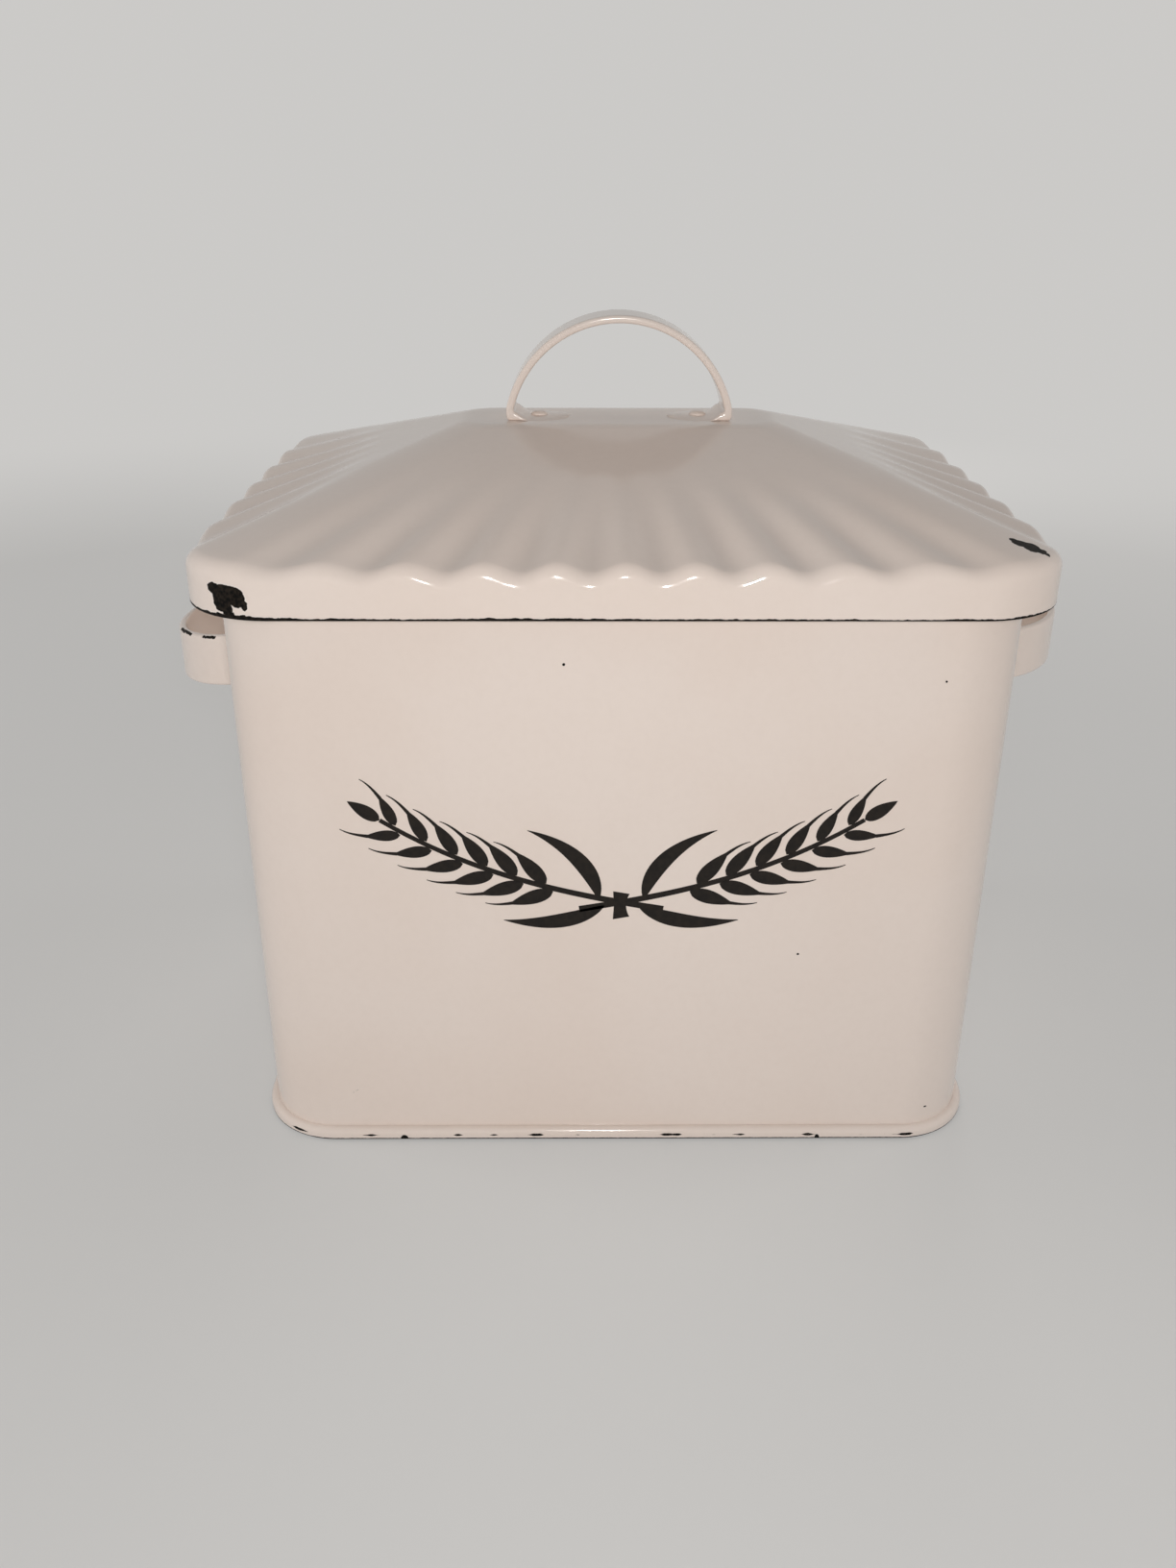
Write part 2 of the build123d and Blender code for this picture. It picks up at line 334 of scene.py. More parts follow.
def tub_wall_mesh(material):
    """The wall sheet, whose upper edge is curled outwards over itself."""
    centre_out = RIM_ROLL_RADIUS - TUB_SHEET
    centre_z = rim_height - RIM_ROLL_RADIUS
    curl_steps = 28
    inside = arc(centre_out, centre_z, RIM_ROLL_RADIUS, math.pi, RIM_CURL_END, curl_steps)
    outside = arc(centre_out, centre_z, RIM_ROLL_RADIUS - TUB_SHEET, RIM_CURL_END, math.pi, curl_steps)
    profile = [(-TUB_SHEET, BASE_SHEET), *inside, *outside, (0.0, BASE_SHEET)]
    profile.reverse()
    vertices, columns = ring_round_tub(profile)
    faces = lattice(len(profile), columns, wrap_rows=True)
    return finish_piece("tub_wall_enamelled", vertices, faces, "tub", ["tub_wall"], material)


def tub_base_mesh(material):
    """The base pan: a rounded bead with a slot for the wall, and a raised floor."""
    leg = TUB_SHEET + BASE_SHEET
    bead_top = arc(BEAD_OUT - BEAD_ROUND, BEAD_HEIGHT - BEAD_ROUND, BEAD_ROUND, 0, math.pi / 2, 8)
    cove_centre = (-TUB_SHEET - FLOOR_COVE, BEAD_HEIGHT + FLOOR_COVE)
    cove = arc(*cove_centre, FLOOR_COVE, 0, -math.pi / 2, 8)
    profile = [
        (-leg - BASE_LIP_CHAMFER, FLOOR_RISE),
        (-leg, FLOOR_RISE - BASE_LIP_CHAMFER),
        (-leg, BASE_FOOT_CHAMFER),
        (-leg + BASE_FOOT_CHAMFER, 0.0),
        (BEAD_OUT - BEAD_TOE, 0.0),
        (BEAD_OUT, BEAD_TOE),
        *bead_top,
        (SEAM_OVERLAP, BEAD_HEIGHT),
        (SEAM_OVERLAP, BASE_SHEET),
        (-TUB_SHEET - SEAM_OVERLAP, BASE_SHEET),
        *cove,
    ]
    vertices, columns = ring_round_tub(profile)
    faces = lattice(len(profile), columns)
    faces.append(tuple(reversed(range(columns))))
    last = (len(profile) - 1) * columns
    faces.append(tuple(range(last, last + columns)))
    return finish_piece("tub_base_enamelled", vertices, faces, "tub", ["tub_base"], material)


# ---------------------------------------------------------------- lid

def edge_share(u, spread):
    """Share of half an edge, from its middle, reached by the flute line at u, 1 at the last ridge."""
    return (HIP_SHARE - spread) * u + spread * u**3


def valley_share(u, flutes):
    """0 on a ridge and near 1 in a valley, for a half edge with this many flutes."""
    wave = (1 - math.cos(2 * math.pi * flutes * u)) / 2
    return wave * (1 - FLUTE_TAPER_SHARE * u**4)


def quarter_lines():
    """Lines up the pressing over one quarter turn: shares of its half sizes, and of a valley."""
    lines = []
    steps = FLUTES_END_HALF * POINTS_PER_FLUTE
    for step in range(steps + 1):
        u = step / steps
        lines.append((1.0, edge_share(u, SPREAD_END), valley_share(u, FLUTES_END_HALF)))
    for step in range(1, POINTS_PER_HIP + 1):
        turn = step / (POINTS_PER_HIP + 1)
        lines.append((1 - (1 - HIP_SHARE) * turn, HIP_SHARE + (1 - HIP_SHARE) * turn, 0.0))
    steps = FLUTES_FRONT_HALF * POINTS_PER_FLUTE
    for step in range(steps, -1, -1):
        u = step / steps
        lines.append((edge_share(u, SPREAD_FRONT), 1.0, valley_share(u, FLUTES_FRONT_HALF)))
    return lines


def lid_lines():
    """The lines of all four quarters, anticlockwise, none twice."""
    quarter = quarter_lines()
    second = [(-x, y, valley) for x, y, valley in reversed(quarter)]
    half = quarter + second[1:]
    return half + [(x, -y, valley) for x, y, valley in reversed(half)][1:-1]


def outline_point(ray_x, ray_y, half_x, half_y, corner):
    """Where a ray from the centre meets a rectangle with rounded corners."""
    length = math.hypot(ray_x, ray_y)
    dx, dy = abs(ray_x) / length, abs(ray_y) / length
    reach = min(half_x / dx if dx > 1e-9 else math.inf, half_y / dy if dy > 1e-9 else math.inf)
    centre_x, centre_y = half_x - corner, half_y - corner
    if reach * dx > centre_x and reach * dy > centre_y:
        along = dx * centre_x + dy * centre_y
        reach = along + math.sqrt(along**2 - centre_x**2 - centre_y**2 + corner**2)
    return reach * ray_x / length, reach * ray_y / length


def flute_fade(share):
    """How deep the flutes are at a share of their length: 1 at the shoulder and 0 at their end."""
    return (1 + math.cos(math.pi * min(1.0, max(0.0, share)))) / 2


def lid_levels(sheet):
    """Levels of one skin from the skirt's edge to the plateau: insets, corner, height and drop."""
    run_x, run_y = lid_half_x - PLATEAU_HALF_X, lid_half_y - PLATEAU_HALF_Y
    run = (run_x + run_y) / 2
    slope = math.atan2(TOP_RISE, run)
    radius = SHOULDER_RADIUS - sheet
    arc_centre = lid_shoulder - SHOULDER_RADIUS * math.tan((math.pi / 2 - slope) / 2)
    arc_end = math.pi / 2 - slope
    levels = []

    # Skirt, straight down from the shoulder's start
    skirt_steps = 6
    skirt_low = skirt_bottom + LID_SHEET / 2
    for step in range(skirt_steps):
        share = step / skirt_steps
        height = skirt_low + (arc_centre - skirt_low) * share
        levels.append((sheet, sheet, LID_CORNER - sheet, height, FLUTE_DEPTH * share))

    # Shoulder
    shoulder_steps = 10
    for step in range(shoulder_steps + 1):
        angle = arc_end * step / shoulder_steps
        inset = SHOULDER_RADIUS - radius * math.cos(angle)
        height = arc_centre + radius * math.sin(angle)
        levels.append((inset, inset, LID_CORNER - inset, height, FLUTE_DEPTH))
    shoulder_share = inset / run
    shoulder_corner = LID_CORNER - inset

    # Slope: the flutes fade out on the way up
    skin = sheet / math.cos(slope)
    edge_ease = PLATEAU_ROUND * math.tan(slope / 2)
    edge_start = 1 - edge_ease / run
    slope_steps = 40
    for step in range(1, slope_steps + 1):
        share = shoulder_share + (edge_start - shoulder_share) * step / slope_steps
        corner = shoulder_corner + (PLATEAU_CORNER - shoulder_corner) * share
        height = lid_shoulder + TOP_RISE * share - skin
        drop = FLUTE_DEPTH * flute_fade((share - shoulder_share) / (FLUTE_FADE_SHARE - shoulder_share))
        levels.append((run_x * share, run_y * share, corner, height, drop))

    # The plateau's edge is eased into the level top.
    ease_steps = 8
    low_height = lid_shoulder + TOP_RISE * edge_start - skin
    top_height = plateau_height - sheet
    for step in range(1, ease_steps + 1):
        t = step / ease_steps
        from_start, past_end = (1 - t) ** 2, t**2
        inset_x = run_x - from_start * run_x * (1 - edge_start) + past_end * edge_ease
        inset_y = run_y - from_start * run_y * (1 - edge_start) + past_end * edge_ease
        height = top_height - from_start * (top_height - low_height)
        corner = PLATEAU_CORNER - past_end * edge_ease
        levels.append((inset_x, inset_y, corner, height, 0.0))
    return levels


def lid_mesh(material):
    """The pressed lid: an outer and an inner skin that meet in a rounded lower edge."""
    lines = lid_lines()
    outer = lid_levels(0.0)
    inner = lid_levels(LID_SHEET)
    edge_round = LID_SHEET / 2
    edge = arc(edge_round, skirt_bottom + edge_round, edge_round, 2 * math.pi, math.pi, 8)[1:-1]
    edge_levels = [(inset, inset, LID_CORNER - inset, height, 0.0) for inset, height in edge]
    levels = list(reversed(inner)) + edge_levels + outer
    vertices = []
    for inset_x, inset_y, corner, height, drop in levels:
        half_x, half_y = lid_half_x - inset_x, lid_half_y - inset_y
        for share_x, share_y, valley in lines:
            x, y = outline_point(share_x * half_x, share_y * half_y, half_x, half_y, corner)
            vertices.append((x, y, height - drop * valley))
    columns = len(lines)
    faces = lattice(len(levels), columns)
    last = (len(levels) - 1) * columns
    faces.append(tuple(reversed(range(columns))))
    faces.append(tuple(range(last, last + columns)))
    return finish_piece("lid_enamelled", vertices, faces, "lid", ["lid_shell"], material)


# ---------------------------------------------------------------- straps and rivets

def strap_path(strap_width, rise):
    """Middle line of a strap from toe to toe: points and direction angles."""
    outer_radius = (ARCH_HALF_WIDTH**2 + rise**2) / (2 * rise)
    radius = outer_radius - STRAP_THICKNESS / 2
    arch_z = rise - outer_radius
    foot_z = STRAP_THICKNESS / 2
    bend_z = foot_z + STRAP_BEND_RADIUS
    bend_x = math.sqrt((radius - STRAP_BEND_RADIUS) ** 2 - (bend_z - arch_z) ** 2)
    bend_turn = math.atan2(bend_z - arch_z, bend_x)
    toe_x = RIVET_OFFSET - strap_width / 2
    half = []
    toe_steps = 18
    for step in range(toe_steps):
        along = (bend_x - toe_x) * (step / toe_steps) ** 2
        half.append((toe_x + along, foot_z, 0.0))
    bend_steps = 12
    for step in range(bend_steps):
        angle = -math.pi / 2 + (math.pi / 2 + bend_turn) * step / bend_steps
        bent_x = bend_x + STRAP_BEND_RADIUS * math.cos(angle)
        bent_z = bend_z + STRAP_BEND_RADIUS * math.sin(angle)
        half.append((bent_x, bent_z, angle + math.pi / 2))
    arch_steps = 40
    for step in range(arch_steps + 1):
        angle = bend_turn + (math.pi / 2 - bend_turn) * step / arch_steps
        half.append((radius * math.cos(angle), arch_z + radius * math.sin(angle), angle + math.pi / 2))
    mirrored = [(-x, z, 2 * math.pi - angle) for x, z, angle in reversed(half[:-1])]
    return half + mirrored


def smooth_share(share):
    """0 below 0, 1 above 1, and eased between them."""
    held = min(1.0, max(0.0, share))
    return held * held * (3 - 2 * held)


def strap_section(half_width, half_thickness, swelling=0.0):
    """A flat section with rounded edges, as (across, outwards) points. On a foot, outwards faces the
    sheet that carries the strap, and full swelling makes the section a low mound on that sheet."""
    round_across = min(STRAP_EDGE_ROUND, half_width)
    round_out = min(STRAP_EDGE_ROUND, half_thickness)
    points = []
    for turn, (side_a, side_b) in enumerate(((1, 1), (-1, 1), (-1, -1), (1, -1))):
        for step in range(STRAP_EDGE_STEPS + 1):
            angle = (turn + step / STRAP_EDGE_STEPS) * math.pi / 2
            across = side_a * (half_width - round_across) + round_across * math.cos(angle)
            outwards = side_b * (half_thickness - round_out) + round_out * math.sin(angle)
            points.append((across, outwards))
        if side_a == side_b:
            flat = half_width - round_across
            for step in range(1, STRAP_FLAT_STEPS):
                across = side_a * flat * (1 - 2 * step / STRAP_FLAT_STEPS)
                points.append((across, side_b * half_thickness))
    shaped = []
    for across, outwards in points:
        rise = (half_thickness - outwards) * (1 - (abs(across) / half_width) ** FOOT_SWELL_POWER)
        swollen = STRAP_THICKNESS / 2 - rise * FOOT_RISE_SHARE
        shaped.append((across, outwards + (swollen - outwards) * swelling))
    return shaped


def heel_reach(out_x, out_z):
    """How far the squared outside of a bend reaches, in half thicknesses of the strap."""
    corner = abs(out_x) ** HEEL_SQUARENESS + abs(out_z) ** HEEL_SQUARENESS
    squared = corner ** (-1 / HEEL_SQUARENESS)
    bend_out = STRAP_BEND_RADIUS + STRAP_THICKNESS / 2
    return (bend_out * squared - STRAP_BEND_RADIUS) / (STRAP_THICKNESS / 2)


def strap_mesh(name, strap_width, rise, place, body, node, material):
    """A bent strap whose toes are rounded about their rivets, set by a placing matrix."""
    toe_x = RIVET_OFFSET - strap_width / 2
    vertices = []
    path = strap_path(strap_width, rise)
    foot_level = STRAP_THICKNESS / 2 + LEVEL_TOLERANCE
    bend_x = max(abs(x) for x, z, angle in path if z <= foot_level)
    for x, z, angle in path:
        half_width, half_thickness = strap_width / 2, STRAP_THICKNESS / 2
        from_toe = abs(x) - toe_x
        if z <= foot_level and from_toe < half_width:
            half_width = math.sqrt(max(0.0, half_width**2 - (half_width - from_toe) ** 2))
            if from_toe < STRAP_EDGE_ROUND:
                kept = math.sqrt(STRAP_EDGE_ROUND**2 - (STRAP_EDGE_ROUND - from_toe) ** 2)
                half_thickness -= STRAP_EDGE_ROUND - kept
        half_width = max(half_width, LEAST_HALF_WIDTH)
        swelling = 0.0
        if z <= foot_level:
            swelling = smooth_share((bend_x - abs(x)) / FOOT_FALL_RUN)
        out_x, out_z = math.sin(angle), -math.cos(angle)
        heel = heel_reach(out_x, out_z) if out_z < 0 else 1.0
        for across, outwards in strap_section(half_width, half_thickness, swelling):
            reach = outwards * heel if outwards > 0 else outwards
            vertices.append(place @ Vector((x + out_x * reach, across, z + out_z * reach)))
    columns = len(strap_section(1, 1))
    faces = lattice(len(path), columns)
    faces.append(tuple(reversed(range(columns))))
    last = (len(path) - 1) * columns
    faces.append(tuple(range(last, last + columns)))
    return finish_piece(name, vertices, faces, body, [node], material)


def rivet_mesh(name, sheet, place, body, node, material):
    """A domed rivet through a strap's swelling foot, which lies on Z = 0, and a sheet below it."""
    profile = [(0.0, -sheet - RIVET_TAIL_HEIGHT)]
    round_across = RIVET_TAIL_RADIUS - RIVET_TAIL_ROUND
    round_height = -sheet - RIVET_TAIL_HEIGHT + RIVET_TAIL_ROUND
    profile += arc(round_across, round_height, RIVET_TAIL_ROUND, -math.pi / 2, 0, 5)
    head_low = STRAP_THICKNESS * FOOT_RISE_SHARE
    profile += [(RIVET_TAIL_RADIUS, -sheet), (RIVET_SHANK_RADIUS, -sheet), (RIVET_SHANK_RADIUS, 0.0)]
    for step in range(RIVET_DOME_STEPS + 1):
        angle = math.pi / 2 * step / RIVET_DOME_STEPS
        across = RIVET_HEAD_RADIUS * math.cos(angle) ** RIVET_DOME_POWER
        profile.append((across, head_low + RIVET_HEAD_HEIGHT * math.sin(angle)))
    rings = profile[1:-1]
    vertices = [place @ Vector((0, 0, profile[0][1]))]
    for radius, height in rings:
        for step in range(RIVET_STEPS):
            angle = 2 * math.pi * step / RIVET_STEPS
            vertices.append(place @ Vector((radius * math.cos(angle), radius * math.sin(angle), height)))
    vertices.append(place @ Vector((0, 0, profile[-1][1])))
    faces = [tuple(i + 1 for i in face) for face in lattice(len(rings), RIVET_STEPS)]
    top, last = len(vertices) - 1, 1 + (len(rings) - 1) * RIVET_STEPS
    for step in range(RIVET_STEPS):
        after = (step + 1) % RIVET_STEPS
        faces.append((0, 1 + after, 1 + step))
        faces.append((top, last + step, last + after))
    return finish_piece(name, vertices, faces, body, [node], material)


def lid_place(x):
    """From a piece's own millimetres to the middle of the lid's plateau, moved along X."""
    return Matrix.Translation((x, 0, plateau_height))


def side_place(side, along, droop=0.0):
    """From a piece's own millimetres to one end of the tub: its Z looks away from the tub."""
    turn = Matrix(((0, 0, side), (side, 0, 0), (0, 1, 0))).to_4x4()
    origin = Matrix.Translation((side * tub_half_x, side * along, SIDE_HANDLE_HEIGHT))
    bend = Matrix(((1, 0, 0), (0, 1, -droop), (0, 0, 1))).to_4x4()
    return origin @ turn @ bend


# ---------------------------------------------------------------- materials

ENAMEL_WARM = (0.805, 0.704, 0.640, 1)
ENAMEL_COOL = (0.820, 0.728, 0.670, 1)
ENAMEL_FLECK = (0.64, 0.54, 0.47, 1)
ENAMEL_BROKEN_EDGE = (0.84, 0.78, 0.74, 1)
STEEL_DARK = (0.003, 0.003, 0.003, 1)
STEEL_LIGHT = (0.022, 0.017, 0.013, 1)
# Heights of the faint relief and of the pits, in millimetres
PEEL_HEIGHT = 0.0035
WAVE_HEIGHT = 0.05
PIT_DEPTH = 0.25


def enamel_material(name, marks=None, unevenness=1.0):
    """Glossy white vitreous enamel: slightly warm and uneven, with a faint orange-peel surface."""
    graph = Graph(name)
    cloud = graph.noise(85, detail=2).outputs["Fac"]
    fleck = graph.noise(3, detail=4, roughness=0.6).outputs["Fac"]
    colour = graph.mix(graph.ramp(cloud, 0.35, 0.65), ENAMEL_WARM, ENAMEL_COOL)
    colour = graph.mix(graph.ramp(fleck, 0.35, 0.75, 0.0, 0.06), colour, ENAMEL_FLECK)
    roughness = graph.ramp(graph.noise(24, detail=4).outputs["Fac"], 0.3, 0.7, 0.10, 0.15)
    peel = graph.noise(2.2, detail=2).outputs["Fac"]
    peel = graph.math("MULTIPLY", peel, PEEL_HEIGHT * unevenness)
    wave = graph.noise(30, detail=1).outputs["Fac"]
    wave = graph.math("MULTIPLY", wave, WAVE_HEIGHT * unevenness)
    height = graph.math("ADD", peel, wave)
    if marks:
        off = marks(graph)
        bare = graph.ramp(off, 0.94, 1.0, 1.0, 0.0)
        rim = graph.math("MULTIPLY", graph.ramp(off, 1.0, 1.22, 1.0, 0.0), 0.75)
        steel_tone = graph.noise(1.1, detail=4).outputs["Fac"]
        steel = graph.mix(graph.ramp(steel_tone, 0.35, 0.7), STEEL_DARK, STEEL_LIGHT)
        colour = graph.mix(rim, colour, ENAMEL_BROKEN_EDGE)
        colour = graph.mix(bare, colour, steel)
        roughness = graph.math("ADD", roughness, graph.math("MULTIPLY", bare, 0.45))
        gloss = graph.math("SUBTRACT", 0.5, graph.math("MULTIPLY", bare, 0.42))
        graph.put(graph.shader.inputs["Specular IOR Level"], gloss)
        rough_floor = graph.math("SUBTRACT", 1.0, graph.math("MULTIPLY", steel_tone, 0.3))
        pit = graph.math("MULTIPLY", rough_floor, bare)
        height = graph.math("SUBTRACT", height, graph.math("MULTIPLY", pit, PIT_DEPTH))
    graph.put(graph.shader.inputs["Base Color"], colour)
    graph.put(graph.shader.inputs["Roughness"], roughness)
    graph.shader.inputs["IOR"].default_value = 1.52
    bump = graph.add("ShaderNodeBump")
    bump.inputs["Strength"].default_value = 1.0
    bump.inputs["Distance"].default_value = MM
    graph.put(bump.inputs["Height"], height)
    graph.put(graph.shader.inputs["Normal"], bump.outputs["Normal"])
    return graph.material


# Places where the enamel is chipped down to the steel, in millimetres. Ellipsoids are
# (middle, radii), and strokes are (start, end, half width).
SKIRT_CHIP = (
    ((-126.5, -112.0, 219.5), (5.0, 14.0, 3.5)),
    ((-130.5, -110.0, 221.0), (2.5, 14.0, 2.0)),
    ((-123.0, -114.0, 219.0), (3.0, 14.0, 3.5)),
    ((-120.5, -115.0, 216.5), (1.2, 14.0, 1.7)),
    ((-128.0, -112.0, 217.0), (3.3, 14.0, 3.5)),
    ((-126.5, -113.0, 214.5), (2.0, 14.0, 2.5)),
    ((-125.5, -113.0, 212.5), (1.5, 14.0, 2.0)),
)
HIP_CHIP = (
    ((126.0, -95.0, 231.0), (1.5, 1.4, 12.0)),
    ((128.0, -97.0, 231.0), (3.0, 2.7, 12.0)),
    ((131.0, -99.0, 231.0), (3.0, 4.0, 12.0)),
    ((133.5, -101.0, 231.0), (2.0, 2.3, 12.0)),
    ((135.0, -102.5, 231.0), (1.2, 1.0, 12.0)),
)
# Half height of the bare line along the lid's lower edge, at stops along X
EDGE_LINE = (
    (-150, 1.2), (-128, 1.8), (-116, 1.6), (-100, 1.1), (-60, 1.05), (-30, 1.25), (10, 0.9), (60, 0.95),
    (90, 0.8), (112, 1.15), (150, 0.9),
)
# The bare line round the middle of the base bead comes and goes: about how long its dashes are,
# and half its height where it is widest
BEAD_DASH = 13.0
BEAD_LINE_HALF = 0.6
BEAD_CHIPS = (
    ((-82.5, -110.0, 1.0), (1.5, 3.0, 1.6)),
    ((77.0, -110.0, 1.0), (1.0, 3.0, 1.6)),
)
# Height of the bare line along the very foot of the base bead
FOOT_LINE = 1.15
PINHOLES = (
    ((-20.0, -107.0, 194.0), (0.5, 2.0, 0.5)),
    ((64.5, -107.0, 82.5), (0.5, 2.0, 0.45)),
    ((106.5, -107.0, 188.0), (0.4, 2.0, 0.4)),
    ((119.0, -107.0, 12.0), (0.8, 3.0, 0.4)),
)
SCRATCHES = (
    ((-105.5, -107.0, 19.0), (-101.5, -107.0, 20.0), 0.16),
    ((-101.5, -107.0, 20.5), (-97.0, -107.0, 23.5), 0.20),
)
# Worn edges of the left handle's strap
STRAP_CHIPS = (
    ((-171.5, -18.0, 177.0), (-165.0, -28.5, 178.0), 0.85),
    ((-158.5, -34.5, 179.0), (-153.5, -38.0, 180.0), 0.75),
)


def in_front(graph, place):
    """0 on the front half of the bin, and large behind it."""
    return graph.ramp(graph.axes(place)[1], -60 * MM, -50 * MM, 0.0, 50.0)


def lid_marks(graph):
    """Chips at two corners, and bare steel along the lid's lower edge."""
    ragged = graph.shift(1.9, 0.8)
    chips = graph.blobs(ragged, SKIRT_CHIP + HIP_CHIP)
    across, _, height = graph.axes(graph.shift(3.0, 0.3))
    reach = graph.profile(across, -150, 150, EDGE_LINE)
    lumps = graph.ramp(graph.noise(7, detail=4, roughness=0.7).outputs["Fac"], 0.25, 0.8, 0.6, 1.25)
    reach = graph.math("MULTIPLY", graph.math("MULTIPLY", reach, lumps), MM)
    above = graph.math("SUBTRACT", height, skirt_bottom * MM)
    return graph.smallest([chips, graph.math("DIVIDE", above, reach)])


def tub_marks(graph):
    """A broken bare line round the base bead, chips in it, pinholes and a scratch."""
    slightly = graph.shift(1.6, 0.22)
    small = graph.blobs(slightly, PINHOLES + BEAD_CHIPS)
    scratch = graph.strokes(graph.shift(2.5, 0.35), SCRATCHES)
    height = graph.axes(slightly)[2]
    along = graph.vector("MULTIPLY", graph.place, (1.0, 0.0, 0.0))
    worn = graph.noise(BEAD_DASH, detail=2, place=along).outputs["Fac"]
    reach = graph.ramp(worn, 0.53, 0.64, 0.001 * MM, BEAD_LINE_HALF * MM)
    away = graph.math("ABSOLUTE", graph.math("SUBTRACT", height, BEAD_HEIGHT / 2 * MM))
    line = graph.math("ADD", graph.math("DIVIDE", away, reach), in_front(graph, slightly))
    foot = graph.math("DIVIDE", height, FOOT_LINE * MM)
    return graph.smallest([small, scratch, line, foot])


def strap_marks(graph):
    """Worn spots on the upper edge of the left handle."""
    return graph.strokes(graph.shift(2.0, 1.0), STRAP_CHIPS)


def ornament_material():
    """Black fired print on the enamel: nearly flat, a little glossy, faintly mottled."""
    graph = Graph("black_print")
    tone = graph.noise(2.0, detail=4).outputs["Fac"]
    colour = graph.mix(graph.ramp(tone, 0.3, 0.7), PRINT_DARK, PRINT_LIGHT)
    graph.put(graph.shader.inputs["Base Color"], colour)
    roughness = graph.ramp(graph.noise(5, detail=3).outputs["Fac"], 0.3, 0.7, 0.30, 0.42)
    graph.put(graph.shader.inputs["Roughness"], roughness)
    graph.shader.inputs["Specular IOR Level"].default_value = 0.3
    return graph.material


# ---------------------------------------------------------------- ornament

PRINT_DARK = (0.006, 0.004, 0.003, 1)
PRINT_LIGHT = (0.013, 0.009, 0.006, 1)
# The print stands this far off the wall, and its shapes lie in thin layers where they cross
PRINT_THICKNESS = 0.06
PRINT_LAYER = 0.012
PRINT_LAYERS = 5
GRAIN_PAIRS = 6
GRAIN_LENGTH = 16.5
GRAIN_WIDTH = 5.5
GRAIN_TURN = math.radians(34)
GRAIN_BELLY = 0.72
GRAIN_FULLNESS = 0.85
# Share of a grain's size that is lost towards the tip of the ear
GRAIN_SHRINK = 0.24
FIRST_GRAIN_SHARE = 0.42
GRAINS_SHARE = 0.52
AWN_LENGTH = 10
AWN_TURN = math.radians(24)


def curve_point(controls, t):
    """Point and unit direction on a cubic curve in the plane of the front."""
    a, b, c, d = (Vector(point) for point in controls)
    rest = 1 - t
    point = a * rest**3 + b * (3 * rest**2 * t) + c * (3 * rest * t**2) + d * t**3
    direction = (b - a) * rest**2 + (c - b) * (2 * rest * t) + (d - c) * t**2
    return point, direction.normalized()


def ribbon(controls, width_at, start=0.0, end=1.0, steps=24):
    """Outline of a band along a curve; its half width follows a function of the share run."""
    left, right = [], []
    for step in range(steps + 1):
        share = step / steps
        point, direction = curve_point(controls, start + (end - start) * share)
        across = Vector((-direction.y, direction.x)) * width_at(share)
        left.append(point + across)
        right.append(point - across)
    return right + left[::-1]


def grain(root, angle, length, width):
    """Outline of one grain: plump near its root and pointed at its tip."""
    along = Vector((math.cos(angle), math.sin(angle)))
    across = Vector((-along.y, along.x))
    steps = 12
    side = []
    for step in range(1, steps):
        share = step / steps
        side.append((share, math.sin(math.pi * share**GRAIN_BELLY) ** GRAIN_FULLNESS))
    lower = [root + along * length * share - across * width / 2 * fat for share, fat in side]
    upper = [root + along * length * share + across * width / 2 * fat for share, fat in reversed(side)]
    return [root, *lower, root + along * length, *upper]


def awn(root, angle, length, curl):
    """Outline of one bristle: a thin curved spike."""
    along = Vector((math.cos(angle), math.sin(angle)))
    bent = Vector((math.cos(angle + curl), math.sin(angle + curl)))
    controls = (root, root + along * length / 3, root + along * length * 2 / 3, root + bent * length)
    return ribbon(controls, lambda share: 0.55 * (1 - share) + 0.12, steps=10)


def ear_shapes():
    """Outlines of the right-hand ear: stem, grains in pairs, bristles and leaves."""
    stem = ((-15, 101.5), (16, 107), (50, 114), (84, 137))
    shapes = [ribbon(stem, lambda share: 1.25 - 0.45 * share)]
    for pair in range(GRAIN_PAIRS):
        share = pair / (GRAIN_PAIRS - 1)
        root, direction = curve_point(stem, FIRST_GRAIN_SHARE + GRAINS_SHARE * share)
        heading = math.atan2(direction.y, direction.x)
        size = 1.0 - GRAIN_SHRINK * share**1.5
        for side in (-1, 1):
            angle = heading + side * GRAIN_TURN
            across = Vector((-direction.y, direction.x)) * side
            foot = root + across * 1.2 + direction * (side * 1.6)
            shapes.append(grain(foot, angle, GRAIN_LENGTH * size, GRAIN_WIDTH * size))
            tip = foot + Vector((math.cos(angle), math.sin(angle))) * 15.0 * size
            shapes.append(awn(tip, heading + side * AWN_TURN, AWN_LENGTH, -side * 0.15))
    root, direction = curve_point(stem, 1.0)
    shapes.append(grain(root, math.atan2(direction.y, direction.x), 13, 5.0))
    upper_leaf = ((8, 105.5), (9, 116), (17, 127), (33, 133))
    lower_leaf = ((6, 103), (15, 96.5), (28, 94.5), (42, 97))
    for leaf in (upper_leaf, lower_leaf):
        shapes.append(ribbon(leaf, lambda share: 2.8 * math.sin(math.pi * share**0.8) + 0.1))
    return shapes


def tie_shapes():
    """Outlines of the band that ties the two stems where they cross."""
    band = ((0, 97.8), (-0.6, 101), (-0.6, 105), (0, 108.2))
    return [ribbon(band, lambda share: 3.0 - 0.8 * math.sin(math.pi * share))]


